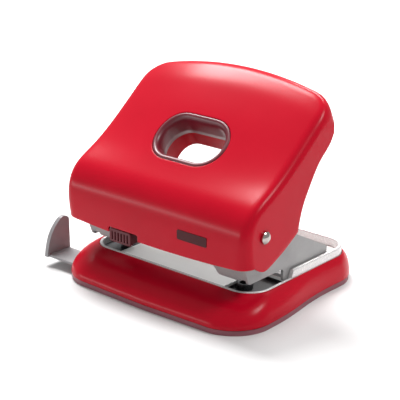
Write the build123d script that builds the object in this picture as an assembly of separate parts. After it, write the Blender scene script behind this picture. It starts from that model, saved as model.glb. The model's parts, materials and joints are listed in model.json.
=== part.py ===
from build123d import *
import math
import os

# Two-hole desk punch, millimetres. X runs to the right, Y to the back and Z up.
# The origin is the centre of the base's footprint, on the surface that the punch stands on.

# ---- driving dimensions ----------------------------------------------------------------------
HOLE_SPACING = 80.0        # between the two hole centres, the office standard
HOLE_TO_EDGE = 12.0        # hole centre to paper edge, which meets the stop
PIN_R = 2.75               # 5.5 mm holes
DIE_R = 4.2
RUN = 0.05                 # radial clearance of a running fit
GAP = 0.3                  # clearance between bodies that only pass each other

FOOT_HALF_W, FOOT_FRONT, FOOT_BACK = 64.0, -56.0, 56.0
FOOT_BOW, FOOT_R = 1.8, 22.0
FOOT_WAIST = [(-17.0, 0.5), (13.0, 4.8)]  # Y, and how far the side is drawn in there
FOOT_TAPER = 3.8           # the back corners are this much further in than the front ones
RIM_HALF_W, RIM_FRONT, RIM_BACK, RIM_R = 55.9, -35.4, 47.3, 13.0
TONGUE_HALF_W = 35.4       # the deck between the two front wells
TRAY_H = 2.6               # visible height of the chip tray's edge
SKIRT_Z0, SKIRT_Z1 = 3.0, 15.6
LAND = 1.2                 # width of the cover's flat land round the bezel
GROOVE, GROOVE_Z = 0.3, 13.5       # the shadow line between the land and the bezel
LEDGE_Z = 8.5              # underside of the ledge that carries the chassis
FLOOR_Z = 10.5             # underside of the chassis
WELL_Z = 12.0              # chassis floor beside the deck
DECK_Z = 15.0              # top of the steel deck, where the paper lies
RIM_Z, RIDGE_Z = 15.9, 20.0
RIDGE_START = -5.0         # the bezel stands up behind this Y
JAW_Z = 21.5               # underside of the punch frame

PIVOT_Y, PIVOT_Z = -34.1, 47.7
PIN_ARM = 12.0             # pivot to pin, along Y
PIN_Y = PIVOT_Y + PIN_ARM
STOP_Y = PIN_Y + HOLE_TO_EDGE
PIN_X = HOLE_SPACING / 2
PRESS_H = 4.0              # the lever's pressing face, above the pivot
CHEEK_X = 53.4             # outer face of the frame's cheeks
AXLE_R = 2.5
STEEL = 1.5                # sheet steel of the frame and the lever
RIVET_R = 1.5              # shanks of the frame's rivets and of the stop's screws
WING_X0, WING_X1 = 26.0, 47.0      # the lever's wings, which carry the rear shell

HANDLE_HALF_W = 61.2
WALL = 1.5                 # handle sheet
TIP_R = 13.0               # the crest's corners, seen from above the slope
SLOPE = (0.755, 0.656)     # direction up the slope, as (Y, Z)
TUNNEL_W, TUNNEL_H, TUNNEL_R = 39.2, 22.0, 10.5
LOWER_W, LOWER_H, LOWER_R = 46.0, 22.6, 10.8       # the thumb hole where it leaves the rear shell
TUNNEL_Y, TUNNEL_Z, TUNNEL_TILT = -17.9, 80.9, 36.8
RING_BOTTOM, RING_WALL = -12.0, 3.3

GUIDE_X, GUIDE_LENGTH = -79.2, 115.0      # outer face of the fin, and the guide's whole length
GUIDE_Y0, GUIDE_Y1 = -46.0, -31.0
GUIDE_Z0, GUIDE_T = 4.8, 1.3
HINGE_Y, HINGE_Z, HINGE_R = 54.2, 1.3, 0.6     # the chip tray's hinge
SCREW_X, SCREW_Y, SCREW_Z, SCREW_TILT = 36.5, -2.55, 60.15, 59.5
SCREW_R = 1.5
BADGE_X, BADGE_Z, BADGE_W, BADGE_H = 27.4, 42.6, 19.0, 5.0

PRESS_Z = PIVOT_Z + PRESS_H
PIN_TIP_Z = JAW_Z + 0.1
FLANGE_LOW_Z, FLANGE_HIGH_Z = 22.25, 39.85     # middle of the frame's two guiding flanges
SPRING_LOW, CLIP_Z0, CLIP_Z1 = 23.1, 37.6, 38.6
LUG_X, LUG_HALF_W = 34.0, 2.0      # the tray's two hinge lugs
BIN_W, BIN_D, BIN_Y, BIN_R = 102.0, 71.0, 7.0, 8.0
BIN_TOP = 8.0              # top of the chip bin inside the base

SLIDER_X0, SLIDER_X1, SLIDER_Z0, SLIDER_Z1 = -29.2, -14.2, 27.0, 34.3     # the ribbed pad
SLIDER_TRAVEL = 4.5

# Side view of the handle as (Y, Z): the front, the dished slope and the crest, then the rear edge
# and the lower edge. The crown is how far each point moves out in the handle's middle, the crease
# is the radius of the soft edge to the side panels, and the tip is each point's share in the
# rounding of the crest's corners.
HANDLE_TOP = [(-47.2, 33.6), (-47.7, 45.5), (-46.8, 51.2), (-44.3, 56.8), (-40.6, 61.2), (-35.5, 64.6),
              (-27.0, 69.0), (-15.1, 76.5), (0.0, 88.1), (6.6, 93.4), (11.4, 97.2),
              (15.6, 100.2), (19.4, 102.0), (22.3, 101.3), (24.2, 98.3), (24.2, 93.5)]
HANDLE_CROWN = [(0, -2.5), (0, 0), (0, 0), (-0.1, 0.2), (-0.2, 0.4), (-0.4, 0.8), (-1.2, 2.1), (-2.3, 3.7),
                (-3.1, 5.0), (-1.9, 6.3), (-0.6, 7.3), (0.8, 7.9), (2.1, 8.3), (3.0, 8.2),
                (3.4, 7.3), (3.0, 3.0)]
HANDLE_CREASE = [6.5, 5.2, 4.8, 4.5, 4.5, 4.5, 4.5, 4.5, 4.5, 4.4, 4.2, 3.9, 3.6, 3.4, 3.4, 3.6]
HANDLE_TIP = [0, 0, 0, 0, 0, 0, 0, 0, 0.3, 0.55, 0.7, 0.88, 1.0, 0.95, 0.8, 0.35]
END_SECTIONS = (TIP_R, 11.8, 10.0, 8.2, 6.6, 5.2, 3.9, 2.7, 1.6, 0.7, 0.0)    # in from the side panel
HANDLE_REAR = [(24.2, 93.5), (19.8, 85.1), (9.3, 75.2), (1.6, 64.8), (-4.5, 54.0), (-7.6, 43.0)]
HANDLE_LOW = [(-7.6, 43.0), (-18.7, 36.2), (-28.0, 31.8), (-35.7, 30.2), (-43.3, 31.8), (-47.2, 33.6)]
SHELL_LINE = [(-8.9, 43.5), (-5.7, 54.8), (0.6, 65.5), (8.0, 76.0), (17.0, 85.2), (20.6, 90.4)]
SHELL_CROWN = [(0, 0), (0, 0), (0, 0), (0.6, 0.4), (2.6, 2.4), (4.6, 4.4)]
BADGE_FRONT_Y, BADGE_T = -48.0, 0.9


# ---- helpers ---------------------------------------------------------------------------------
def closed(points, radius):
    """Face of a closed polygon with rounded corners."""
    return make_face(FilletPolyline(*points, radius=radius, close=True).edges())


def prism(face, z0, z1):
    """A face of the XY plane, extruded from z0 to z1."""
    return Pos(0, 0, z0) * extrude(face, z1 - z0, dir=(0, 0, 1))


def side_prism(face, x0, x1):
    """A face drawn as (Y, Z), extruded from x0 to x1."""
    return Plane.YZ.offset(x0) * extrude(face, x1 - x0, dir=(0, 0, 1))


def front_prism(face, y0, y1):
    """A face drawn as (X, Z), extruded from y0 to y1."""
    return Plane.XZ.offset(-y0) * extrude(face, y1 - y0, dir=(0, 0, -1))


def box(x0, x1, y0, y1, z0, z1):
    """A block between two corners."""
    return Pos((x0 + x1) / 2, (y0 + y1) / 2, (z0 + z1) / 2) * Box(x1 - x0, y1 - y0, z1 - z0)


def rod_x(x0, x1, y, z, r):
    """A cylinder along X."""
    return Pos((x0 + x1) / 2, y, z) * Rot(0, 90, 0) * Cylinder(r, x1 - x0)


def rod_z(x, y, z0, z1, r):
    """A cylinder along Z."""
    return Pos(x, y, (z0 + z1) / 2) * Cylinder(r, z1 - z0)


def bent_sheet(points, bend_r, x0, x1, thickness=STEEL):
    """Sheet metal that follows a (Y, Z) line, from x0 to x1."""
    path = FilletPolyline(*points, radius=bend_r)
    return side_prism(trace(path, thickness), x0, x1)


def outline(half_w, front, back, corner, bow, pinch):
    """Closed face: bowed in front, its sides drawn in towards the back by pinch times the foot's waist."""
    side = [(half_w, front + bow)]
    side += [(half_w - pinch * depth, y) for y, depth in FOOT_WAIST]
    side.append((half_w - pinch * FOOT_TAPER, back))
    mirrored = [(-x, y) for x, y in reversed(side)]
    soft = 150.0
    half = [corner, soft, soft, corner]
    return closed([(0, front)] + side + mirrored, [soft] + half + half)


def foot_face(inset):
    """Outline of the base at the floor."""
    return outline(FOOT_HALF_W - inset, FOOT_FRONT + inset, FOOT_BACK - inset, FOOT_R - inset, FOOT_BOW, 1)


def rim_face(inset):
    """Outline of the bezel, drawn in by inset."""
    y_mid = (RIM_FRONT + RIM_BACK) / 2
    width, depth = 2 * (RIM_HALF_W - inset), RIM_BACK - RIM_FRONT - 2 * inset
    return Pos(0, y_mid) * RectangleRounded(width, depth, RIM_R - inset)


def skirt_section(share, inset, z):
    """Section of the flared skirt: share 0 is the foot's outline and 1 is just outside the rim."""
    def mix(foot, rim):
        return foot + (rim - foot) * share

    half_w = mix(FOOT_HALF_W, RIM_HALF_W + LAND) - inset
    front = mix(FOOT_FRONT, RIM_FRONT - LAND) + inset
    back = mix(FOOT_BACK, RIM_BACK + LAND) - inset
    corner = mix(FOOT_R, RIM_R + LAND) - inset
    return Pos(0, 0, z) * outline(half_w, front, back, corner, mix(FOOT_BOW, 0.3), mix(1, 0.15))


def skirt(inset, drop):
    """Solid bounded by the flared skirt, its wall drawn in by inset and its top lowered by drop."""
    top_angle = 65.0
    height = SKIRT_Z1 - SKIRT_Z0 - drop
    sections = []
    for angle in (0, 18, 36, 52, top_angle):
        share = (1 - math.cos(math.radians(angle))) / (1 - math.cos(math.radians(top_angle)))
        rise = math.sin(math.radians(angle)) / math.sin(math.radians(top_angle))
        sections.append(skirt_section(share, inset, SKIRT_Z0 + height * rise))
    return loft(sections)


# ---- base ------------------------------------------------------------------------------------
def hinge_lugs(y0, y1, z0, z1, grow):
    """The two lugs at the back of the base that carry the tray's hinge pins."""
    half_w = LUG_HALF_W + grow
    return [box(s * LUG_X - half_w, s * LUG_X + half_w, y0, y1, z0, z1) for s in (-1, 1)]


def base_cover():
    """Flared enamelled skirt with a ledge inside that carries the chassis."""
    wall, ledge_w, play, lug_half_d = 2.0, 4.0, 0.4, 1.2
    cover = skirt(0, 0) - skirt(wall, wall)
    cover += prism(rim_face(-LAND), LEDGE_Z, SKIRT_Z1) & skirt(0, 0)
    cover -= prism(rim_face(0), FLOOR_Z, SKIRT_Z1 + 1)
    cover -= prism(rim_face(-GROOVE), GROOVE_Z, SKIRT_Z1 + 1)
    cover -= prism(rim_face(ledge_w), LEDGE_Z - 1, SKIRT_Z1 + 1)
    slot_z0, slot_z1 = GUIDE_Z0 - play, GUIDE_Z0 + GUIDE_T + play
    cover -= box(-70, -50, GUIDE_Y0 - play, GUIDE_Y1 + play, slot_z0, slot_z1)
    for lug in hinge_lugs(HINGE_Y - lug_half_d, HINGE_Y + lug_half_d, GAP, SKIRT_Z0 + 2.5, 0):
        cover += lug
    return cover - rod_x(-40, 40, HINGE_Y, HINGE_Z, HINGE_R + RUN)


def deck_face(inset):
    """The steel deck: a tongue under the paper in front, full width behind the wells."""
    w, tongue = RIM_HALF_W - 2.3 - inset, TONGUE_HALF_W - inset
    front, back, step = RIM_FRONT + 2.1 + inset, RIM_BACK - 2.3 - inset, -6.3 + inset
    right = [(tongue, front), (tongue, step), (w, step), (w, back)]
    left = [(-x, y) for x, y in reversed(right)]
    return closed(right + left, [1.2, 1.2, 1.2, 10.6, 10.6, 1.2, 1.2, 1.2])


def rivet_places():
    return [(s * 45.5, y) for s in (-1, 1) for y in (2.0, 19.0)]


def stop_screw_places():
    return [(s * 20.0, STOP_Y + 5.5) for s in (-1, 1)]


def base_chassis():
    """Sheet floor of the base, raised in the middle under the deck."""
    chassis = prism(rim_face(0.1), FLOOR_Z, WELL_Z) + prism(deck_face(0.3), WELL_Z, DECK_Z - STEEL)
    for s in (-1, 1):
        chassis -= rod_z(s * PIN_X, PIN_Y, FLOOR_Z - 1, WELL_Z + 1, PIN_R + 0.6)
    for x, y in rivet_places() + stop_screw_places():
        chassis -= rod_z(x, y, FLOOR_Z - 1, DECK_Z, RIVET_R)
    return chassis


def base_plate():
    """Steel deck that the paper lies on."""
    plate = prism(deck_face(0), DECK_Z - STEEL, DECK_Z)
    for x, y in rivet_places() + stop_screw_places():
        plate -= rod_z(x, y, WELL_Z, DECK_Z + 1, RIVET_R)
    return plate


def die(side):
    """Hardened bush that the pin enters; it stands in the well beside the deck's tongue."""
    bush = rod_z(side * PIN_X, PIN_Y, WELL_Z, DECK_Z, DIE_R)
    bush = chamfer(bush.edges().group_by(Axis.Z)[-1], 0.6)
    return bush - rod_z(side * PIN_X, PIN_Y, WELL_Z - 1, DECK_Z + 1, PIN_R + RUN)


def base_bezel():
    """Silver frame round the deck: a low line in front, a rounded ridge at the sides and back."""
    ring_w, ring_soft, ridge_w, ridge_soft = 1.6, 0.6, 2.2, 1.05
    ring = prism(rim_face(0), WELL_Z, RIM_Z) - prism(rim_face(ring_w), WELL_Z - 1, RIM_Z + 1)
    ring = fillet(ring.edges().group_by(Axis.Z)[-1], ring_soft)
    ridge = prism(rim_face(0), WELL_Z, RIDGE_Z) - prism(rim_face(ridge_w), WELL_Z - 1, RIDGE_Z + 1)
    ridge = fillet(ridge.edges().group_by(Axis.Z)[-1], ridge_soft)
    y, ramp, low, high = RIDGE_START, 2.5, RIM_Z - 0.6, RIDGE_Z + 1
    slope = [(y, low), (y + ramp, high)]
    ahead = closed([(-60, 5), (y, 5)] + slope + [(y + ramp, 30), (-60, 30)], 0.5)
    ridge -= side_prism(ahead, -70, 70)
    return ring + ridge


def punch_frame():
    """One bent sheet: cheeks at the ends, a front web, and two flanges that guide the pins."""
    web_y, flange_y, inner_x = -37.85, -18.0, CHEEK_X - STEEL
    flange_x, foot_x = 47.2, 38.5         # outer end of the flanges, inner end of the feet
    line = [(flange_y, FLANGE_HIGH_Z), (web_y, FLANGE_HIGH_Z), (web_y, 29.5),
            (-35.2, FLANGE_LOW_Z), (flange_y, FLANGE_LOW_Z)]
    frame = bent_sheet(line, [2.0, 2.0, 2.0], -inner_x, inner_x)
    middle = closed([(-35.5, 20), (35.5, 20), (31.0, 31.0), (-31.0, 31.0)], 1.5)
    frame -= front_prism(middle, -42, -10)
    for s in (-1, 1):
        frame -= box(*sorted((s * flange_x, s * inner_x)), -36.5, -10, 20, 42)
        frame += cheek(s)
        frame += box(*sorted((s * foot_x, s * inner_x)), -5.5, 26.0, DECK_Z, DECK_Z + STEEL)
        frame -= rod_z(s * PIN_X, PIN_Y, 15, 45, PIN_R + RUN)
    for x, y in rivet_places():
        frame -= rod_z(x, y, DECK_Z - 1, DECK_Z + 3, RIVET_R)
    return frame


def cheek(side):
    """Upright end plate of the frame, from the deck up to the pivot."""
    throat_y, back_y, boss_r = -8.5, 28.4, 6.2
    border = [(-38.6, 29.3), (-35.7, JAW_Z), (throat_y, JAW_Z), (throat_y, DECK_Z), (back_y, DECK_Z),
              (back_y, 23.0), (-29.5, 53.4), (-40.3, PIVOT_Z), (-38.6, 40.0)]
    plate = closed(border, [1.0, 1.5, 1.5, 0.5, 0.5, 2.0, 1.0, 1.0, 1.0])
    plate += Pos(PIVOT_Y, PIVOT_Z) * Circle(boss_r)
    plate -= Pos(PIVOT_Y, PIVOT_Z) * Circle(AXLE_R)
    return side_prism(plate, *sorted((side * (CHEEK_X - STEEL), side * CHEEK_X)))


def dome(r, height):
    """Spherical cap on the XY plane."""
    ball_r = (r * r + height * height) / (2 * height)
    ball = Pos(0, 0, height - ball_r) * Sphere(ball_r)
    return ball & Pos(0, 0, height / 2) * Box(2 * r, 2 * r, height)


def frame_rivets():
    """Domed rivets through the frame's feet, the deck and the chassis."""
    head_r, head_h = 2.8, 1.2
    rivets = []
    for x, y in rivet_places():
        shank = rod_z(x, y, FLOOR_Z, DECK_Z + STEEL, RIVET_R)
        rivets.append(shank + Pos(x, y, DECK_Z + STEEL) * dome(head_r, head_h))
    return rivets


def paper_stop():
    """Angle strip that the paper's edge meets."""
    half_t = 0.6
    face_y, depth, height = STOP_Y + half_t, 9.0, 6.0
    line = [(face_y, DECK_Z + height), (face_y, DECK_Z + half_t), (STOP_Y + depth, DECK_Z + half_t)]
    stop = bent_sheet(line, [1.0], -32, 32, 2 * half_t)
    for x, y in stop_screw_places():
        stop -= rod_z(x, y, DECK_Z - 1, DECK_Z + 3, RIVET_R)
    return stop


def pan_head(r, height):
    """Screw head that sits on the XY plane, with a cross recess."""
    head = Cylinder(r, height, align=(Align.CENTER, Align.CENTER, Align.MIN))
    slot_w, slot_depth = 0.7, 0.7
    for turn in (0, 90):
        slot = Pos(0, 0, height) * Rot(0, 0, turn) * Box(1.1 * r, slot_w, 2 * slot_depth)
        head -= slot
    return head


def stop_screws():
    """Pan-head screws that hold the paper stop on the deck."""
    seat = DECK_Z + 1.2
    screws = []
    for x, y in stop_screw_places():
        screws.append(rod_z(x, y, FLOOR_Z, seat, RIVET_R) + Pos(x, y, seat) * pan_head(2.7, 1.3))
    return screws


def pivot_axle():
    length = HANDLE_HALF_W + GAP
    return rod_x(-length, length, PIVOT_Y, PIVOT_Z, AXLE_R)


def axle_cap(side):
    """Domed push-on cap outside the handle's side panel."""
    cap_r, rim_h, dome_h = 3.1, 0.9, 1.4
    disc = Cylinder(cap_r, rim_h, align=(Align.CENTER, Align.CENTER, Align.MIN))
    cap = disc + Pos(0, 0, rim_h) * dome(cap_r, dome_h)
    return Pos(side * (HANDLE_HALF_W + GAP), PIVOT_Y, PIVOT_Z) * Rot(0, side * 90, 0) * cap


# ---- pins ------------------------------------------------------------------------------------
def punch_pin(side):
    """Hardened pin with a hollow cutting end and a domed head that the lever presses."""
    head_r, head_h, dome_h = 3.2, 0.9, 1.4
    dome_z = PRESS_Z - GAP - dome_h
    pin = rod_z(0, 0, PIN_TIP_Z, dome_z, PIN_R) + rod_z(0, 0, dome_z - head_h, dome_z, head_r)
    pin += Pos(0, 0, dome_z) * dome(head_r, dome_h)
    notch_r, notch_depth = 5.0, 0.8
    pin -= Pos(0, 0, PIN_TIP_Z + notch_depth - notch_r) * Rot(0, 90, 0) * Cylinder(notch_r, 12)
    return Pos(side * PIN_X, PIN_Y, 0) * pin


def pin_clip(side):
    """Retaining washer that takes the return spring."""
    washer_r = 4.7
    ring = rod_z(0, 0, CLIP_Z0, CLIP_Z1, washer_r) - rod_z(0, 0, CLIP_Z0 - 1, CLIP_Z1 + 1, PIN_R)
    return Pos(side * PIN_X, PIN_Y, 0) * ring


def pin_spring(side):
    """Compression coil between the frame's lower flange and the clip."""
    wire_r, coil_r, turns = 0.35, 3.75, 6
    slack = 0.1
    height = CLIP_Z0 - SPRING_LOW - 2 * wire_r - slack
    path = Helix(pitch=height / turns, height=height, radius=coil_r)
    wire = sweep(Plane(origin=path @ 0, z_dir=path % 0) * Circle(wire_r), path=path)
    return Pos(side * PIN_X, PIN_Y, SPRING_LOW + wire_r) * wire


# ---- handle ----------------------------------------------------------------------------------
def crown_share(x):
    """How much of the crown shows at x: all of it in the middle, none at the side panels."""
    return 1 - (x / HANDLE_HALF_W) ** 2


def crowned(points, crown, x):
    """The (Y, Z) points of a section at x."""
    share = crown_share(x)
    return [(y + share * dy, z + share * dz) for (y, z), (dy, dz) in zip(points, crown)]


def inset_line(points, depths):
    """Points moved to the right of their direction of travel, each by its own depth."""
    moved = []
    for i, (y, z) in enumerate(points):
        before, after = points[max(i - 1, 0)], points[min(i + 1, len(points) - 1)]
        dy, dz = after[0] - before[0], after[1] - before[1]
        size = math.hypot(dy, dz)
        moved.append((y + depths[i] * dz / size, z - depths[i] * dy / size))
    return moved


def round_drop(x, half_w, r):
    """How far an edge of radius r at the side has fallen away at x."""
    past = abs(x) - (half_w - r)
    return r - math.sqrt(max(r * r - past * past, 0)) if past > 0 else 0.0


def top_points(x, shrink):
    """The handle's upper line at x, drawn in by shrink."""
    half_w = HANDLE_HALF_W - shrink
    back = round_drop(x, half_w, TIP_R - shrink)
    line = crowned(HANDLE_TOP, HANDLE_CROWN, x)
    line = [(y - SLOPE[0] * back * k, z - SLOPE[1] * back * k) for (y, z), k in zip(line, HANDLE_TIP)]
    return inset_line(line, [shrink + round_drop(x, half_w, r - shrink) for r in HANDLE_CREASE])


def section_at(x, edges):
    return Plane.YZ.offset(x) * make_face(edges)


def soft_loft(section, half_w):
    """Loft across the handle: a crowned middle, then an end at each side that rounds the crease."""
    start = half_w - TIP_R
    body = loft([section(x) for x in (-start, 0, start)])
    for side in (-1, 1):
        stations = [half_w - depth for depth in END_SECTIONS]
        body += loft([section(side * x) for x in stations])
    return body


def block_section(x):
    """The handle's closed section at x; its lower edge swings back where the front wall rounds off."""
    top = top_points(x, 0)
    top[0] = (top[0][0], crowned(HANDLE_TOP[:1], HANDLE_CROWN, x)[0][1])
    y, z = top[0]
    setback = y - HANDLE_TOP[0][0]
    (heel_y, heel_z), (toe_y, _) = HANDLE_LOW[3:5]
    toe = [(heel_y + 0.4 * setback, heel_z), (toe_y + 0.75 * setback, z - 1.8)]
    rear = [top[-1]] + HANDLE_REAR[1:]
    low = HANDLE_LOW[:3] + toe + [top[0]]
    return section_at(x, [Spline(*top), Spline(*rear), Spline(*low)])


def handle_block():
    """The handle's outer volume, with its soft side creases."""
    return soft_loft(block_section, HANDLE_HALF_W)


def cavity_section(x):
    """Section at x of what the sheet is bent round."""
    far, low, overshoot = 70.0, 5.0, 6.0
    line = top_points(x, WALL)
    line[0] = (line[0][0], HANDLE_TOP[0][1] - overshoot)
    rest = Polyline(line[-1], (far, line[-1][1]), (far, low), (line[0][0], low), line[0])
    return section_at(x, [Spline(*line)] + list(rest.edges()))


def handle_cavity():
    """What the sheet is bent round: open below and behind."""
    return soft_loft(cavity_section, HANDLE_HALF_W - WALL)


def tunnel(width, height, r, top, bottom):
    """Rounded prism along the thumb hole; top and bottom are distances along its outward axis."""
    tilt = math.radians(TUNNEL_TILT)
    outward = (0, -math.sin(tilt), math.cos(tilt))
    plane = Plane(origin=(0, TUNNEL_Y, TUNNEL_Z), x_dir=(1, 0, 0), z_dir=outward)
    face = RectangleRounded(width, height, r)
    return plane.offset(bottom) * extrude(face, top - bottom, dir=(0, 0, 1))


def collar(width, height, r, wall, top, bottom):
    """Tube round the thumb hole."""
    outer = tunnel(width + 2 * wall, height + 2 * wall, r + wall, top, bottom)
    return outer - tunnel(width, height, r, top + 1, bottom - 1)


def handle_cover():
    """Bent sheet: front wall, slope, crest and side panels, with the hole that takes the thumb ring."""
    play = 0.4
    cover = handle_block() - handle_cavity()
    cover -= ring_volume(RUN)
    cover -= rod_x(-70, 70, PIVOT_Y, PIVOT_Z, AXLE_R + RUN)
    x0, x1, top = SLIDER_X0 - play, SLIDER_X1 + SLIDER_TRAVEL + play, SLIDER_Z1 + 0.5
    notch = closed([(x0, 20), (x1, 20), (x1, top), (x0, top)], [0.5, 0.5, 1.2, 1.2])
    cover -= front_prism(notch, -50, -44)
    return cover - handle_badge()


def handle_badge():
    """Small plain plate let into the front wall."""
    plate = Pos(BADGE_X, BADGE_Z) * RectangleRounded(BADGE_W, BADGE_H, 0.8)
    return front_prism(plate, BADGE_FRONT_Y, BADGE_FRONT_Y + BADGE_T)


def screw_plane(side):
    """On the rear shell's middle surface, facing out."""
    tilt = math.radians(SCREW_TILT)
    return Plane(origin=(side * SCREW_X, SCREW_Y, SCREW_Z), x_dir=(1, 0, 0),
                 z_dir=(0, math.sin(tilt), -math.cos(tilt)))


def screw_shank(side):
    """The part of a handle screw that goes through the shell and the lever's wing."""
    return screw_plane(side).offset(-5) * extrude(Circle(SCREW_R), 5 + WALL / 2, dir=(0, 0, 1))


def handle_screws():
    """Pan-head screws that hold the rear shell to the lever's wings."""
    return [screw_shank(s) + screw_plane(s).offset(WALL / 2) * pan_head(2.8, 1.4) for s in (-1, 1)]


def ring_volume(grow):
    """Outer volume of the thumb ring, grown by grow; it reaches out past the slope."""
    side = RING_WALL + grow
    return tunnel(TUNNEL_W + 2 * side, TUNNEL_H + 2 * side, TUNNEL_R + side, 12, RING_BOTTOM)


def thumb_ring():
    """Dark plastic insert: its top edge shows as the thumb hole's lip, flush with the slope."""
    ring = ring_volume(0) & handle_block()
    return ring - tunnel(TUNNEL_W, TUNNEL_H, TUNNEL_R, 12, RING_BOTTOM - 1)


def shell_lines(x, depth_front, depth_back):
    """The rear shell's section line at x, moved to its front face and to its back face."""
    line = crowned(SHELL_LINE, SHELL_CROWN, x)
    return inset_line(line, [depth_front] * len(line)), inset_line(line, [depth_back] * len(line))


def shell_section(x):
    """The rear shell's closed section at x."""
    front, back = shell_lines(x, -WALL / 2, WALL / 2)
    ends = [Line(front[-1], back[-1]), Line(back[0], front[0])]
    return section_at(x, [Spline(*front), Spline(*back)] + ends)


def ahead_section(x):
    """Everything ahead of the shell's middle surface."""
    far, low, high = -40.0, 44.5, 88.0
    line = crowned(SHELL_LINE, SHELL_CROWN, x)
    rest = Polyline(line[-1], (far, high), (far, low), line[0])
    return section_at(x, [Spline(*line)] + list(rest.edges()))


def handle_underside():
    """Rear shell: closes the handle from behind and ends in the thumb hole's lower collar."""
    half_w = HANDLE_HALF_W - WALL - 0.1
    notch_x, notch_top, below = CHEEK_X - 2.6, 66.0, -50.0
    stations = (-half_w, 0, half_w)
    shell = loft([shell_section(x) for x in stations])
    for s in (-1, 1):
        shell -= box(*sorted((s * notch_x, s * 62)), -20, 20, 30, notch_top)
    tube = collar(LOWER_W, LOWER_H, LOWER_R, WALL, RING_BOTTOM, below)
    shell += tube & loft([ahead_section(x) for x in stations])
    shell -= tunnel(LOWER_W, LOWER_H, LOWER_R, RING_BOTTOM, below - 10)
    for s in (-1, 1):
        shell -= screw_shank(s)
    return shell


def lever_plate():
    """Steel lever inside the handle: ears on the axle, a web over the pins, wings up to the shell."""
    half_w, boss_r, web_z = 51.0, 5.0, PRESS_Z + STEEL / 2
    lever = box(-half_w, half_w, -29, -15, PRESS_Z, PRESS_Z + STEEL)
    ear = closed([(-37, 51.2), (-16, 53.2), (-15, 51.7), (-31.5, 43.6)], 0.5)
    ear += Pos(PIVOT_Y, PIVOT_Z) * Circle(boss_r)
    ear -= Pos(PIVOT_Y, PIVOT_Z) * Circle(AXLE_R + RUN)
    wing = [(-15.5, web_z), (-9.2, web_z), (-1.3, 65.9)]
    for s in (-1, 1):
        lever += side_prism(ear, *sorted((s * (half_w - STEEL), s * half_w)))
        lever += bent_sheet(wing, [2.5], *sorted((s * WING_X0, s * WING_X1)))
        lever -= screw_shank(s)
    return lever


# ---- lock slider, chip tray and paper guide --------------------------------------------------
def lock_slider():
    """Ribbed thumb pad in the notch of the front wall, on a plate that runs behind the wall."""
    x0, x1, z0, z1 = SLIDER_X0, SLIDER_X1, SLIDER_Z0, SLIDER_Z1
    face_y, wall_y, back_y, plate_top = -47.3, -45.2, -42.0, 38.0
    pad = box(x0, x1, face_y, wall_y, z0, z1)
    pad = fillet(pad.edges().filter_by(Axis.Y), 1.2)
    pad = fillet(pad.faces().sort_by(Axis.Y)[0].edges(), 0.5)
    count, groove, margin = 6, 0.9, 2.2
    for i in range(count):
        x = x0 + margin + i * (x1 - x0 - 2 * margin) / (count - 1)
        pad -= box(x - groove / 2, x + groove / 2, face_y - 1, face_y + 0.7, z0 + 1.2, z1 - 1.5)
    return pad + box(x0, x1, wall_y, back_y, z0 + 1.2, plate_top)


def lock_keeper():
    """Strip spot-welded inside the front wall; the slider's plate runs between it and the wall."""
    x0, x1, tab = -40.0, -2.0, 5.0
    front_y, back_y = -41.7, -40.7
    strip = box(x0, x1, front_y, back_y, 30.5, 42.0)
    for x in (x0, x1 - tab):
        strip += box(x, x + tab, -46.0, front_y, 39.2, 42.0)
    return strip


def chip_tray():
    """Shallow plastic tray under the whole base, with a chip bin and a barrel edge at its hinge."""
    floor_t, wall_t, edge_inset, edge_t = 1.2, 1.4, 0.4, 2.2
    tray = prism(foot_face(edge_inset), 0, TRAY_H)
    tray -= prism(foot_face(edge_inset + edge_t), floor_t, TRAY_H + 1)
    tray -= box(-70, 70, HINGE_Y, FOOT_BACK + 1, -1, TRAY_H + 1)
    tray += rod_x(-43, 43, HINGE_Y, HINGE_Z, HINGE_Z)
    chip_bin = Pos(0, BIN_Y) * RectangleRounded(BIN_W, BIN_D, BIN_R)
    hollow = Pos(0, BIN_Y) * RectangleRounded(BIN_W - 2 * wall_t, BIN_D - 2 * wall_t, BIN_R - wall_t)
    tray += prism(chip_bin, floor_t, BIN_TOP) - prism(hollow, floor_t, BIN_TOP + 1)
    for lug in hinge_lugs(HINGE_Y - 1.8, FOOT_BACK + 1, -1, TRAY_H + 1, 0.4):
        tray -= lug
    return tray - rod_x(-45, 45, HINGE_Y, HINGE_Z, HINGE_R)


def tray_hinge_pins():
    """A short pin through each lug, into the tray's barrel on both sides of it."""
    reach = 6.0
    return [rod_x(s * LUG_X - reach, s * LUG_X + reach, HINGE_Y, HINGE_Z, HINGE_R) for s in (-1, 1)]


def paper_guide():
    """Pull-out guide: a flat strip with an upright fin that the paper's side edge meets."""
    fin_t, z0 = 2.4, GUIDE_Z0
    guide = box(GUIDE_X, GUIDE_X + GUIDE_LENGTH, GUIDE_Y0, GUIDE_Y1, z0, z0 + GUIDE_T)
    front = Spline((-47.0, z0), (-45.9, 11.0), (-43.4, 17.2), (-40.2, 21.4), (-36.6, 24.4))
    crest = RadiusArc((-36.6, 24.4), (-30.5, 23.0), 4.4)
    rest = Polyline((-30.5, 23.0), (-30.3, z0), (-47.0, z0))
    return guide + side_prism(make_face([front, crest] + list(rest.edges())), GUIDE_X, GUIDE_X + fin_t)


def guide_channel():
    """Sleeve under the front of the base that the guide slides in."""
    wall, play, x0, x1 = 1.0, 0.4, -50.0, 8.0
    y0, y1, z0, z1 = GUIDE_Y0 - play, GUIDE_Y1 + play, GUIDE_Z0 - play, GUIDE_Z0 + GUIDE_T + play
    sleeve = box(x0, x1, y0 - wall, y1 + wall, GUIDE_Z0 - 1.5, LEDGE_Z)
    return sleeve - box(x0 - 1, x1 + 1, y0, y1, z0, z1)


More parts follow.
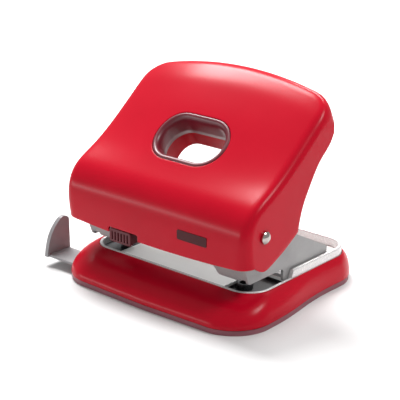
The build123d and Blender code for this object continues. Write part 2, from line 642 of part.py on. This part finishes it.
def main():
    os.makedirs("parts", exist_ok=True)
    nodes = {
        "base_cover": base_cover(),
        "base_chassis": base_chassis(),
        "base_plate": base_plate(),
        "base_bezel": base_bezel(),
        "die_left": die(-1),
        "die_right": die(1),
        "punch_frame": punch_frame(),
        "frame_rivets": frame_rivets(),
        "paper_stop": paper_stop(),
        "stop_screws": stop_screws(),
        "pivot_axle": pivot_axle(),
        "axle_cap_left": axle_cap(-1),
        "axle_cap_right": axle_cap(1),
        "punch_pin_left": punch_pin(-1),
        "punch_pin_right": punch_pin(1),
        "pin_clip_left": pin_clip(-1),
        "pin_clip_right": pin_clip(1),
        "pin_spring_left": pin_spring(-1),
        "pin_spring_right": pin_spring(1),
        "handle_cover": handle_cover(),
        "handle_underside": handle_underside(),
        "thumb_ring": thumb_ring(),
        "lever_plate": lever_plate(),
        "lock_slider": lock_slider(),
        "lock_keeper": lock_keeper(),
        "handle_screws": handle_screws(),
        "handle_badge": handle_badge(),
        "chip_tray": chip_tray(),
        "tray_hinge_pins": tray_hinge_pins(),
        "paper_guide": paper_guide(),
        "guide_channel": guide_channel(),
    }
    for name, shape in nodes.items():
        solids = shape if isinstance(shape, list) else [shape]
        export_step(Compound(children=[s for part in solids for s in part.solids()]), f"parts/{name}.step")
        print(name, round(sum(s.volume for s in solids)))


main()
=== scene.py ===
"""Two-hole desk punch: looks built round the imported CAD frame. Metres, X right, Y back, Z up."""
import json
import math

import bmesh
import bpy
import numpy as np
from mathutils import Matrix, Vector


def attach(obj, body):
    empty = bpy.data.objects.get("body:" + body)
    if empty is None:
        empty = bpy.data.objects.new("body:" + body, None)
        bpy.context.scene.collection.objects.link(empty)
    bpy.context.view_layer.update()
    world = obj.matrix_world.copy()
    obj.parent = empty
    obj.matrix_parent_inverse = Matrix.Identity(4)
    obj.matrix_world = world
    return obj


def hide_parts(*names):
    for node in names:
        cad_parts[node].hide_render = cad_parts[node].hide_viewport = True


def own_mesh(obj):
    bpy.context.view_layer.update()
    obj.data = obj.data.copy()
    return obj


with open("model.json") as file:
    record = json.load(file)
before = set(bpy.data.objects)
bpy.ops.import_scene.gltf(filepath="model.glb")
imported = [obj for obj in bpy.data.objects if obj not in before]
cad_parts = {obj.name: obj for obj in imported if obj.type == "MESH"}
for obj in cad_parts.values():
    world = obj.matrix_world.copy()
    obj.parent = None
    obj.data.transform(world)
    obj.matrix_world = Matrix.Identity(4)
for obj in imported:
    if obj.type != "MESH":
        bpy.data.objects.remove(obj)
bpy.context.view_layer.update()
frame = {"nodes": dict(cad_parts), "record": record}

MM = 0.001

# Shapes are worked out in millimetres, on the CAD's own numbers, and scaled when a mesh is made.
HALF_W, WALL = 61.2, 1.5             # the handle cover's half width and its wall
TIP_R = 13.0                         # rounding of the crest's corners
SLOPE = (0.755, 0.656)               # direction up the handle's slope, as (Y, Z)
HOLE_W, HOLE_H, HOLE_R = 39.2, 22.0, 10.5
RING_WALL, RING_BOTTOM = 3.3, -12.0  # the thumb hole's insert, and how deep its foot lies
HOLE_CENTRE = np.array([0.0, -17.9, 80.9])
TILT = math.radians(36.8)
HOLE_UP = np.array([0.0, math.cos(TILT), math.sin(TILT)])
HOLE_OUT = np.array([0.0, -math.sin(TILT), math.cos(TILT)])

# The cover's section at its sides, from the front toe over the crest, as (Y, Z). For each point,
# CROWN is what the middle adds, CREASE the side edge's radius, and TIP_SHARE how much of the
# rounding of the crest's corner it follows.
TOP = [(-47.2, 33.6), (-47.7, 45.5), (-46.8, 51.2), (-44.3, 56.8), (-40.6, 61.2), (-35.5, 64.6),
       (-27.0, 69.0), (-15.1, 76.5), (0.0, 88.1), (6.6, 93.4), (11.4, 97.2),
       (15.6, 100.2), (19.4, 102.0), (22.3, 101.3), (24.2, 98.3), (24.2, 93.5)]
CROWN = [(0, -2.5), (0, 0), (0, 0), (-0.1, 0.2), (-0.2, 0.4), (-0.4, 0.8), (-1.2, 2.1), (-2.3, 3.7),
         (-3.1, 5.0), (-1.9, 6.3), (-0.6, 7.3), (0.8, 7.9), (2.1, 8.3), (3.0, 8.2),
         (3.4, 7.3), (3.0, 3.0)]
CREASE = [6.5, 5.2, 4.8, 4.5, 4.5, 4.5, 4.5, 4.5, 4.5, 4.4, 4.2, 3.9, 3.6, 3.4, 3.4, 3.6]
TIP_SHARE = [0, 0, 0, 0, 0, 0, 0, 0, 0.3, 0.55, 0.7, 0.88, 1.0, 0.95, 0.8, 0.35]

# The side panel's rear edge from the crest down, and its lower edge on to the front toe.
REAR = [(24.2, 93.5), (19.8, 85.1), (9.3, 75.2), (1.6, 64.8), (-4.5, 54.0), (-7.6, 43.0)]
REAR_SHARE = [0.35, 0.15, 0, 0, 0, 0]
LOW = [(-7.3, 43.0), (-18.7, 36.2), (-28.0, 31.8), (-35.7, 30.2), (-43.3, 31.8), (-47.2, 33.6)]


# ---- materials -------------------------------------------------------------------------------
NOISE_LOW, NOISE_HIGH = 0.3, 0.7     # nearly all of a noise texture's values lie between these


def link_noise(tree, coords, scale, detail, rough):
    """A noise texture's value at coords."""
    noise = tree.nodes.new("ShaderNodeTexNoise")
    noise.inputs["Scale"].default_value = scale
    noise.inputs["Detail"].default_value = detail
    noise.inputs["Roughness"].default_value = rough
    tree.links.new(coords, noise.inputs["Vector"])
    return noise.outputs["Fac"]


def spread(tree, value, low, high):
    """A noise texture's value stretched over low to high."""
    node = tree.nodes.new("ShaderNodeMapRange")
    node.inputs["From Min"].default_value = NOISE_LOW
    node.inputs["From Max"].default_value = NOISE_HIGH
    node.inputs["To Min"].default_value = low
    node.inputs["To Max"].default_value = high
    tree.links.new(value, node.inputs["Value"])
    return node.outputs["Result"]


def srgb(r, g, b):
    """Linear colour from 0-255 values."""
    def one(v):
        v /= 255
        return v / 12.92 if v <= 0.04045 else ((v + 0.055) / 1.055) ** 2.4
    return (one(r), one(g), one(b))


def surface(name, dark, light, rough, metal=0.0, coat=0.0, spec=0.5,
            tone_scale=45.0, grain=1400.0, relief=20, stretch=(1, 1, 1)):
    """A finish whose colour drifts between dark and light; relief is its grain's height in microns."""
    mat = bpy.data.materials.new(name)
    mat.use_nodes = True
    tree = mat.node_tree
    shader = tree.nodes["Principled BSDF"]
    coords = tree.nodes.new("ShaderNodeTexCoord")
    mapping = tree.nodes.new("ShaderNodeMapping")
    mapping.inputs["Scale"].default_value = stretch
    tree.links.new(coords.outputs["Object"], mapping.inputs["Vector"])
    where = mapping.outputs["Vector"]
    tone = link_noise(tree, where, tone_scale, 4.0, 0.55)
    mix = tree.nodes.new("ShaderNodeMix")
    mix.data_type = "RGBA"
    mix.inputs["A"].default_value = (*srgb(*dark), 1)
    mix.inputs["B"].default_value = (*srgb(*light), 1)
    tree.links.new(spread(tree, tone, 0, 1), mix.inputs["Factor"])
    tree.links.new(mix.outputs["Result"], shader.inputs["Base Color"])
    fine = link_noise(tree, where, grain, 3.0, 0.6)
    tree.links.new(spread(tree, fine, *rough), shader.inputs["Roughness"])
    bump = tree.nodes.new("ShaderNodeBump")
    bump.inputs["Strength"].default_value = 0.6
    bump.inputs["Distance"].default_value = relief * 1e-6
    tree.links.new(fine, bump.inputs["Height"])
    tree.links.new(bump.outputs["Normal"], shader.inputs["Normal"])
    shader.inputs["Metallic"].default_value = metal
    shader.inputs["Specular IOR Level"].default_value = spec
    shader.inputs["Coat Weight"].default_value = coat
    shader.inputs["Coat Roughness"].default_value = 0.08
    return mat


# Each material slot's dark and light colour as 0-255 values, its least and most roughness, and
# what else it sets. The thumb hole's insert has a burgundy of its own, PLUM.
FINISHES = {
    "red_enamel": ((172, 5, 30), (179, 7, 33), (0.22, 0.26),
                   {"spec": 0.13, "tone_scale": 25, "grain": 2200, "relief": 8}),
    "silver_steel": ((232, 233, 231), (242, 243, 241), (0.3, 0.42),
                     {"metal": 0.15, "stretch": (0.06, 1, 1), "grain": 2600, "relief": 12,
                      "tone_scale": 120}),
    "silver_bezel": ((206, 203, 203), (216, 213, 213), (0.22, 0.3),
                     {"metal": 0.2, "coat": 0.2, "grain": 1800, "relief": 10}),
    # hard_steel: partly the hardened steel's own darker finish, partly painted shade of the recess round
    # the dies.
    "hard_steel": ((70, 70, 72), (92, 92, 95), (0.24, 0.36),
                   {"metal": 0.9, "grain": 3000, "relief": 10}),
    "frame_steel": ((140, 139, 139), (158, 157, 157), (0.42, 0.55),
                    {"metal": 0.4, "grain": 1600, "relief": 30}),
    "bright_steel": ((170, 170, 169), (195, 195, 194), (0.16, 0.26),
                     {"metal": 1.0, "grain": 2600, "relief": 8}),
    # chrome_cap: its brownish, dulled base colour is painted reflection, standing in for the dark and red
    # surroundings the chrome dome would mirror.
    "chrome_cap": ((176, 166, 162), (190, 180, 176), (0.08, 0.14),
                   {"metal": 1.0, "grain": 2200, "relief": 4}),
    "spring_steel": ((120, 120, 122), (150, 150, 152), (0.2, 0.32),
                     {"metal": 1.0, "grain": 3000, "relief": 6}),
    "burgundy_plastic": ((78, 10, 22), (90, 14, 27), (0.34, 0.46), {"spec": 0.3, "grain": 2400}),
    "badge_plastic": ((58, 4, 12), (68, 6, 15), (0.3, 0.4),
                      {"spec": 0.2, "grain": 2000, "relief": 10}),
    "tray_plastic": ((122, 66, 76), (136, 78, 88), (0.42, 0.55), {"grain": 2000, "relief": 30}),
    "guide_plastic": ((128, 126, 128), (140, 138, 140), (0.36, 0.46), {"grain": 2200}),
    # black_plastic: the chassis round the dies is made this dark as painted shade of the throat and
    # recess under the deck.
    "black_plastic": ((40, 39, 41), (54, 53, 55), (0.4, 0.52), {"grain": 2200}),
}
MATS = {name: surface(name, dark, light, rough, **extra)
        for name, (dark, light, rough, extra) in FINISHES.items()}
PLUM = surface("plum_plastic", (88, 12, 27), (102, 17, 34), (0.34, 0.42), grain=2400, relief=10, spec=0.6)


def finish_node(name, slot):
    """Gives a CAD node the finish of its material slot."""
    mesh = frame["nodes"][name].data
    mesh.materials.clear()
    mesh.materials.append(MATS[slot])


# ---- mesh helpers ----------------------------------------------------------------------------
def run_length(points):
    """How far along the line each of its points lies."""
    return np.concatenate([[0], np.cumsum(np.linalg.norm(np.diff(points, axis=0), axis=1))])


def natural_spline(points, count):
    """Count points along a natural cubic spline through the given (Y, Z) points."""
    p = np.array(points, float)
    t = run_length(p)
    n, h = len(p), np.diff(t)
    a = np.zeros((n, n))
    rhs = np.zeros((n, p.shape[1]))
    a[0, 0] = a[-1, -1] = 1
    for i in range(1, n - 1):
        a[i, i - 1:i + 2] = h[i - 1], 2 * (h[i - 1] + h[i]), h[i]
        rhs[i] = 6 * ((p[i + 1] - p[i]) / h[i] - (p[i] - p[i - 1]) / h[i - 1])
    m = np.linalg.solve(a, rhs)
    s = np.linspace(0, t[-1], count)
    k = np.clip(np.searchsorted(t, s, side="right") - 1, 0, n - 2)
    d0, d1, hk = (s - t[k])[:, None], (t[k + 1] - s)[:, None], h[k][:, None]
    return (m[k] * d1 ** 3 + m[k + 1] * d0 ** 3) / (6 * hk) + (p[k] / hk - m[k] * hk / 6) * d1 \
        + (p[k + 1] / hk - m[k + 1] * hk / 6) * d0


def inset_line(points, depths):
    """Each point moved square to the line, into the handle, by its depth."""
    moved = []
    for i, (y, z) in enumerate(points):
        before, after = points[max(i - 1, 0)], points[min(i + 1, len(points) - 1)]
        dy, dz = after[0] - before[0], after[1] - before[1]
        size = math.hypot(dy, dz)
        moved.append((y + depths[i] * dz / size, z - depths[i] * dy / size))
    return moved


def round_drop(x, r):
    """How far an edge of radius r at the handle's side has fallen away at x."""
    past = abs(x) - (HALF_W - r)
    return r - math.sqrt(max(r * r - past * past, 0)) if past > 0 else 0.0


def receded(points, shares, x):
    """Points drawn down the slope where the crest's corner is rounded."""
    d = round_drop(x, TIP_R)
    return [(y - SLOPE[0] * d * k, z - SLOPE[1] * d * k) for (y, z), k in zip(points, shares)]


def crowned(points, crown, x):
    """The points of the section at x: all of the crown in the middle, none at the sides."""
    share = 1 - (x / HALF_W) ** 2
    return [(y + share * dy, z + share * dz) for (y, z), (dy, dz) in zip(points, crown)]


def top_line(x, count):
    """The cover's section at x, from its front toe over the crest."""
    line = receded(crowned(TOP, CROWN, x), TIP_SHARE, x)
    low_z = line[0][1]
    line = inset_line(line, [round_drop(x, r) for r in CREASE])
    line[0] = (line[0][0], low_z)
    return natural_spline(line, count)


def under_line(start, end, count):
    """The side panel's lower and rear edge, from its front toe at start to the crest at end."""
    setback = start[0] - TOP[0][0]   # the crease draws the toe back, and the edge goes with it
    toe = [(LOW[3][0] + 0.4 * setback, LOW[3][1]), (LOW[4][0] + 0.75 * setback, start[1] - 1.8)]
    rear = receded(REAR, REAR_SHARE, HALF_W)
    lower = natural_spline((LOW[:3] + toe + [tuple(start)])[::-1], count)
    upper = natural_spline([tuple(p) for p in rear[:0:-1]] + [tuple(end)], count)
    return np.concatenate([lower, upper[1:]])


def make_mesh(name, verts, faces, weld=False):
    """A mesh with matching face normals, from points in millimetres."""
    mesh = bpy.data.meshes.new(name)
    mesh.from_pydata([tuple(MM * np.array(v, float)) for v in verts], [], faces)
    bm = bmesh.new()
    bm.from_mesh(mesh)
    if weld:
        bmesh.ops.remove_doubles(bm, verts=bm.verts, dist=0.01 * MM)
    bmesh.ops.recalc_face_normals(bm, faces=bm.faces)
    bm.to_mesh(mesh)
    bm.free()
    return mesh


def link_object(name, mesh):
    """The mesh as an object in the scene."""
    piece = bpy.data.objects.new(name, mesh)
    bpy.context.scene.collection.objects.link(piece)
    return piece


def shade_smooth(mesh):
    """Smooth shading on every face."""
    for poly in mesh.polygons:
        poly.use_smooth = True


def new_piece(name, verts, faces, slot):
    """A smooth piece of the punch in a slot's finish."""
    mesh = make_mesh(name, verts, faces, weld=True)
    shade_smooth(mesh)
    mesh.materials.append(MATS[slot])
    piece = link_object(name, mesh)
    return piece


def prism_tool(name, outline, y0, y1):
    """Cutting body: a front-view outline as (X, Z), run from y0 to y1."""
    n = len(outline)
    verts = [(x, y, z) for y in (y0, y1) for x, z in outline]
    faces = [tuple(range(n)), tuple(range(2 * n - 1, n - 1, -1))]
    faces += [(i, i + n, (i + 1) % n + n, (i + 1) % n) for i in range(n)]
    return link_object(name, make_mesh(name, verts, faces))


def joined_rings(rings, closed):
    """Points and faces of a tube through equal rings of points; closed joins its two ends."""
    count = len(rings[0])
    faces = []
    for i in range(len(rings) if closed else len(rings) - 1):
        low, high = i * count, ((i + 1) % len(rings)) * count
        for j in range(count):
            k = (j + 1) % count
            faces.append((low + j, low + k, high + k, high + j))
    return [point for ring in rings for point in ring], faces


def arc_points(cx, cz, r, a0, a1, count):
    """Points along an arc from angle a0 to a1, in degrees."""
    angles = [math.radians(a0 + (a1 - a0) * i / count) for i in range(count + 1)]
    return [(cx + r * math.cos(a), cz + r * math.sin(a)) for a in angles]


def cut(piece, tool):
    """Sets a modifier that takes tool away from piece."""
    knife = piece.modifiers.new(tool.name, "BOOLEAN")
    knife.operation = "DIFFERENCE"
    knife.solver = "EXACT"
    knife.object = tool


def apply_modifiers(piece):
    """Puts what the modifiers make in place of piece's mesh."""
    bpy.context.view_layer.update()
    graph = bpy.context.evaluated_depsgraph_get()
    mesh = bpy.data.meshes.new_from_object(piece.evaluated_get(graph))
    piece.modifiers.clear()
    piece.data = mesh


def rounded_rect(w, h, r, directions):
    """Where a ray in each direction leaves a rounded rectangle centred on the origin."""
    found = []
    for dx, dy in directions:
        size = math.hypot(dx, dy)
        ux, uy = abs(dx) / size, abs(dy) / size
        cx, cy = w / 2 - r, h / 2 - r
        b = ux * cx + uy * cy
        c = cx * cx + cy * cy - r * r
        t = b + math.sqrt(max(b * b - c, 0))
        if ux * t < cx:
            t = h / 2 / uy
        elif uy * t < cy:
            t = w / 2 / ux
        found.append((t * dx / size, t * dy / size))
    return found


# ---- the thumb hole's own plane --------------------------------------------------------------
PROFILE = 700                        # points along a section before it is thinned out
SLOPE_PART = int(PROFILE * 0.85)     # of which these come before the crest turns down


def hole_local(point):
    """A point as across and up in the thumb hole's plane."""
    d = point - HOLE_CENTRE
    return d[0], d @ HOLE_UP


def hole_point(a, b, out):
    """The point a across, b up and out of the hole's centre."""
    return HOLE_CENTRE + a * np.array([1.0, 0, 0]) + b * HOLE_UP + out * HOLE_OUT


def hole_outline(grow, directions):
    """The hole's outline, grown outwards, where rays in these directions meet it."""
    return rounded_rect(HOLE_W + 2 * grow, HOLE_H + 2 * grow, HOLE_R + grow, directions)


def on_surface(a, b):
    """How far out of the hole's centre the slope lies at (a, b)."""
    line = top_line(a, PROFILE)[:SLOPE_PART]
    out = 0.0
    for _ in range(12):
        point = hole_point(a, b, out)
        z = np.interp(point[1], line[:, 0], line[:, 1])
        out += (z - point[2]) * math.cos(TILT)
    return out


def laid_on(line, rise):
    """The points of a line in the hole's plane, each rise above the slope."""
    return [hole_point(a, b, on_surface(a, b) + rise) for a, b in line]


# ---- pieces ----------------------------------------------------------------------------------
def thumb_ring():
    """Dark insert with a rolled lip; its outer wall and foot follow the CAD ring."""
    turns = np.linspace(0, 2 * math.pi, 160, endpoint=False)
    around = [(40 * math.cos(t), 40 * math.sin(t)) for t in turns]
    # The lip from its outer edge over the roll and down the hole, as (grow, rise).
    lip = [(3.3, -1.2), (3.3, -0.4), (3.22, -0.1), (3.0, 0.13), (2.6, 0.28), (2.1, 0.28), (1.6, 0.12),
           (1.15, -0.2), (0.75, -0.65), (0.42, -1.25), (0.18, -2.0), (0.05, -2.9), (0.0, -3.8)]
    rings = [laid_on(hole_outline(grow, around), rise) for grow, rise in lip]
    for grow, depths in ((0, (-6.5, -9.2, RING_BOTTOM)), (RING_WALL, (RING_BOTTOM, -8.0, -4.5))):
        line = hole_outline(grow, around)
        rings += [[hole_point(a, b, depth) for a, b in line] for depth in depths]
    verts, faces = joined_rings(rings, closed=True)
    return new_piece("thumb_ring_lip", verts, faces, "burgundy_plastic")


def spring_coil(side, name):
    """Return spring with closed end turns, standing on the frame's flange."""
    foot, height, coil_r, wire_r = 23.1, 14.4, 3.75, 0.35
    turns, steps, sides = 7, 40, 10
    end_share = 0.14                 # of the wire lies flat at each end
    centre = np.array([side * 40.0, -22.1, foot + wire_r])
    rise, up = height - 2 * wire_r, np.array([0, 0, 1.0])
    rolls = [2 * math.pi * j / sides for j in range(sides)]
    rings = []
    for share in (i / (turns * steps) for i in range(turns * steps + 1)):
        lift = rise * min(max((share - end_share) / (1 - 2 * end_share), 0), 1)
        turn = 2 * math.pi * turns * share
        out = np.array([math.cos(turn), math.sin(turn), 0])
        wire = centre + coil_r * out + lift * up
        rings.append([wire + wire_r * (math.cos(roll) * out + math.sin(roll) * up) for roll in rolls])
    verts, faces = joined_rings(rings, closed=False)
    faces += [tuple(range(sides)), tuple(range(len(verts) - sides, len(verts)))]
    return new_piece("spring_coil_" + name, verts, faces, "spring_steel")


# ---- handle cover ----------------------------------------------------------------------------
ROWS = 110                           # points that a section keeps
PANEL_ROWS = 12                      # rows of faces down each side panel
WINDOW_X, WINDOW_UP = 31.5, 20       # half size of the window that is refilled round the hole
WINDOW_Z = 60                        # the window's rows all lie higher than this


class Skin:
    """The cover's outer skin: the grid of section points, and the faces made so far."""

    def __init__(self, grid):
        self.grid, self.verts, self.faces, self.index = grid, [], [], {}

    def vert(self, i, k):
        """The number of section i's point k, which is added when first asked for."""
        if (i, k) not in self.index:
            self.index[(i, k)] = len(self.verts)
            self.verts.append(self.grid[i][k])
        return self.index[(i, k)]

    def add_line(self, last, points, closed):
        """Adds a line of points, joins it to the last line and returns its numbers."""
        count = len(points)
        new = list(range(len(self.verts), len(self.verts) + count))
        self.verts += points
        for j in range(count if closed else count - 1):
            k = (j + 1) % count
            self.faces.append((last[j], last[k], new[k], new[j]))
        return new

    def add_sections(self, c0, c1, r0, r1):
        """Joins the sections, except in the window from section c0 to c1 and from row r0 to r1."""
        for i in range(len(self.grid) - 1):
            for k in range(ROWS - 1):
                if not (c0 <= i < c1 and r0 <= k < r1):
                    corners = ((i, k), (i + 1, k), (i + 1, k + 1), (i, k + 1))
                    self.faces.append(tuple(self.vert(*corner) for corner in corners))

    def add_hole(self, c0, c1, r0, r1):
        """Fills the window with loops, from its square edge to the hole's turned-in edge."""
        edge = [(i, r0) for i in range(c0, c1)] + [(c1, k) for k in range(r0, r1)]
        edge += [(i, r1) for i in range(c1, c0, -1)] + [(c0, k) for k in range(r1, r0, -1)]
        loop = [self.vert(i, k) for i, k in edge]
        flat = [hole_local(self.grid[i][k]) for i, k in edge]
        start = hole_outline(RING_WALL + 1.2, flat)
        for share in (0.25, 0.5, 0.75, 1.0):
            line = [(a + (c - a) * share, b + (d - b) * share) for (a, b), (c, d) in zip(flat, start)]
            loop = self.add_line(loop, laid_on(line, 0.0), closed=True)
        for grow, rise in ((0.5, 0.0), (0.32, -0.03), (0.2, -0.14), (0.14, -0.34), (0.12, -0.8)):
            line = hole_outline(RING_WALL + grow, flat)
            loop = self.add_line(loop, laid_on(line, rise), closed=True)

    def add_side_panel(self, side, column):
        """Flat panel at one end, from the end section's line to the panel's lower edge."""
        upper = list(self.grid[column])
        under = under_line(upper[0][1:], upper[-1][1:], 200)
        length, run = run_length(under), run_length(upper)
        at = run / run[-1] * length[-1]
        lower = zip(np.interp(at, length, under[:, 0]), np.interp(at, length, under[:, 1]))
        edge = [np.array([side * HALF_W, y, z]) for y, z in lower]
        edge[0], edge[-1] = upper[0], upper[-1]
        last = [self.vert(column, k) for k in range(ROWS)]
        for f in (step / PANEL_ROWS for step in range(1, PANEL_ROWS + 1)):
            line = [high * (1 - f) + low * f for high, low in zip(upper, edge)]
            last = self.add_line(last, line, closed=False)


def section_stations():
    """Where the sections stand across the cover, closer together at its rounded ends."""
    flat_end = HALF_W - TIP_R
    turns = [math.radians(a) for a in (12, 24, 35, 45, 54, 62, 69, 75, 80, 84, 87, 90)]
    right = [flat_end + TIP_R * math.sin(a) for a in turns]
    return [-x for x in reversed(right)] + list(np.linspace(-flat_end, flat_end, 39)) + right


def section_grid(stations):
    """The points of each station's section, as many as a section keeps."""
    pick = np.linspace(0, PROFILE - 1, ROWS).round().astype(int)
    lines = [top_line(x, PROFILE) for x in stations]
    return np.array([[(x, *line[k]) for k in pick] for x, line in zip(stations, lines)])


def hole_window(stations, grid):
    """The window's first and last section, and its first and last row."""
    middle = grid[len(stations) // 2]
    cols = [i for i, x in enumerate(stations) if abs(x) <= WINDOW_X]
    rows = [k for k, point in enumerate(middle)
            if abs(hole_local(point)[1]) < WINDOW_UP and point[2] > WINDOW_Z]
    return cols[0], cols[-1], rows[0], rows[-1]


def face_outward(piece):
    """Turns the faces over if they look at the handle's middle."""
    middle = Vector((0, 0, 0.055))
    if sum((poly.center - middle).dot(poly.normal) * poly.area for poly in piece.data.polygons) < 0:
        piece.data.flip_normals()


def notch_tool():
    """Cutting body for the lock slider's notch in the cover's lower front edge."""
    x0, x1, low, high, r = -29.6, -9.3, 20.0, 34.8, 1.2
    line = [(x0, low), (x1, low)]
    line += arc_points(x1 - r, high - r, r, 0, 90, 6)
    line += arc_points(x0 + r, high - r, r, 90, 180, 6)
    return prism_tool("notch", line, -52.0, -43.0)


def handle_cover():
    """The skin, thickened inwards, with the slider's notch cut out and its edges eased."""
    stations = section_stations()
    skin = Skin(section_grid(stations))
    window = hole_window(stations, skin.grid)
    skin.add_sections(*window)
    skin.add_hole(*window)
    skin.add_side_panel(-1, 0)
    skin.add_side_panel(1, len(stations) - 1)
    piece = new_piece("handle_cover_skin", skin.verts, skin.faces, "red_enamel")
    face_outward(piece)
    thick = piece.modifiers.new("wall", "SOLIDIFY")
    thick.thickness = WALL * MM
    thick.offset = -1
    thick.use_quality_normals = True
    tool = notch_tool()
    cut(piece, tool)
    soft = piece.modifiers.new("soft_edges", "BEVEL")
    soft.width = 0.28 * MM
    soft.segments = 2
    soft.limit_method = "ANGLE"
    soft.angle_limit = math.radians(50)
    apply_modifiers(piece)
    bpy.data.objects.remove(tool)
    shade_smooth(piece.data)
    return piece


# ---- the model -------------------------------------------------------------------------------
cover = handle_cover()
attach(cover, "handle")
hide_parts("handle_cover")

ring = thumb_ring()
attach(ring, "handle")
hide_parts("thumb_ring")
ring.data.materials[0] = PLUM

for side, name in ((-1, "left"), (1, "right")):
    coil = spring_coil(side, name)
    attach(coil, "base")
    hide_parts("pin_spring_" + name)
    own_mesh(coil)

for entry in frame["record"]["subparts"]:
    finish_node(entry["node"], entry["material_slot"])

# ---- stage -----------------------------------------------------------------------------------
floor_mesh = bpy.data.meshes.new("floor")
bm = bmesh.new()
bmesh.ops.create_grid(bm, x_segments=40, y_segments=40, size=3.0)
bm.to_mesh(floor_mesh)
bm.free()
floor_mesh.materials.append(surface("floor_white", (212, 212, 212), (216, 216, 216), (0.7, 0.8),
                                    spec=0.2, tone_scale=3, grain=400))
floor = link_object("floor", floor_mesh)

world = bpy.data.worlds.new("studio")
bpy.context.scene.world = world
world.use_nodes = True
world.node_tree.nodes["Background"].inputs["Color"].default_value = (1, 1, 1, 1)
world.node_tree.nodes["Background"].inputs["Strength"].default_value = 0.44


def softbox(name, place, aim, across, size, power):
    """Area light at place, facing aim, whose long side runs along across; power in watts."""
    data = bpy.data.lights.new(name, "AREA")
    data.shape = "RECTANGLE"
    data.size, data.size_y = size
    data.energy = power
    lamp = bpy.data.objects.new(name, data)
    back = (Vector(place) - Vector(aim)).normalized()
    across = Vector(across) - back * back.dot(Vector(across))
    across.normalize()
    turned = Matrix((across, back.cross(across), back)).transposed().to_4x4()
    lamp.matrix_world = Matrix.Translation(place) @ turned
    bpy.context.scene.collection.objects.link(lamp)


softbox("over_left", (-0.48, 0.22, 0.88), (0, 0, 0.08), (1, -0.1, 0), (0.56, 0.3), 16)
softbox("behind", (-0.20, 0.80, 0.78), (0, 0, 0.04), (1, 0, 0), (0.5, 0.09), 6)
softbox("front_strip", (-0.74, -0.92, 0.13), (0, -0.04, 0.06), (0.77, -0.62, 0), (0.8, 0.03), 2.6)
softbox("over_right", (0.62, 0.22, 0.74), (0.02, -0.02, 0.04), (0, 1, 0), (0.3, 0.24), 4.5)

camera_data = bpy.data.cameras.new("camera")
camera_data.lens = 117.0
camera_data.sensor_width = 36.0
camera = bpy.data.objects.new("camera", camera_data)
azimuth, elevation, distance = math.radians(40.878), math.radians(19.677), 0.66882
target = Vector((0, -0.010, 0.0457))
direction = Vector((math.sin(azimuth) * math.cos(elevation), -math.cos(azimuth) * math.cos(elevation),
                    math.sin(elevation)))
camera.location = target + distance * direction
camera.rotation_euler = (-direction).to_track_quat("-Z", "Y").to_euler()
bpy.context.scene.collection.objects.link(camera)
bpy.context.scene.camera = camera
bpy.context.scene.view_settings.view_transform = "Standard"
